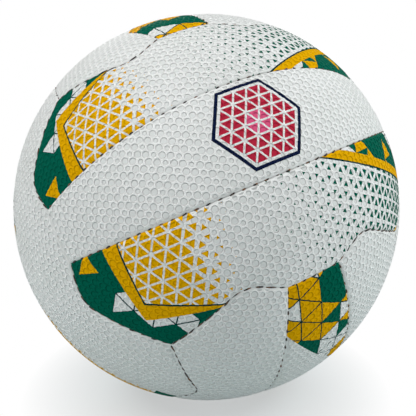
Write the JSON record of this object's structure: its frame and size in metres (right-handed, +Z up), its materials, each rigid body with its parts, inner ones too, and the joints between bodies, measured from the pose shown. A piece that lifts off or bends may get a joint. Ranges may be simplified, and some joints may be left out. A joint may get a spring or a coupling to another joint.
{
  "type": "ringball",
  "caption": "Round, hand-stitched team-sport ball: shouldered cover panels in faces of parallel strips, cloth linings, an air bladder and a needle valve.",
  "frame": {"origin": "centre of the ball", "axes": "+Z up as the ball lies in the picture, front towards -Y, +X to the viewer's right"},
  "size_m": [0.2228, 0.2228, 0.2228],
  "materials": {
    "cover": "embossed matt, printed in green and gold",
    "lining": "glued cotton plies",
    "bladder": "matt",
    "valve_rubber": "matt",
    "thread": "waxed"
  },
  "bodies": {
    "root": {"front_centre_panel": "cover", "front_upper_panel": "cover", "front_lower_panel": "cover", "back_centre_panel": "cover", "back_upper_panel": "cover", "back_lower_panel": "cover", "left_centre_panel": "cover", "left_front_panel": "cover", "left_back_panel": "cover", "right_centre_panel": "cover", "right_front_panel": "cover", "right_back_panel": "cover", "top_centre_panel": "cover", "top_right_panel": "cover", "top_left_panel": "cover", "bottom_centre_panel": "cover", "bottom_right_panel": "cover", "bottom_left_panel": "cover", "front_centre_lining": "lining", "front_upper_lining": "lining", "front_lower_lining": "lining", "back_centre_lining": "lining", "back_upper_lining": "lining", "back_lower_lining": "lining", "left_centre_lining": "lining", "left_front_lining": "lining", "left_back_lining": "lining", "right_centre_lining": "lining", "right_front_lining": "lining", "right_back_lining": "lining", "top_centre_lining": "lining", "top_right_lining": "lining", "top_left_lining": "lining", "bottom_centre_lining": "lining", "bottom_right_lining": "lining", "bottom_left_lining": "lining", "bladder": "bladder", "valve_stem": "valve_rubber", "valve_core": "valve_rubber", "strip_seam_thread": "thread", "centre_end_thread": "thread", "outer_end_thread": "thread"}
  },
  "joints": []
}
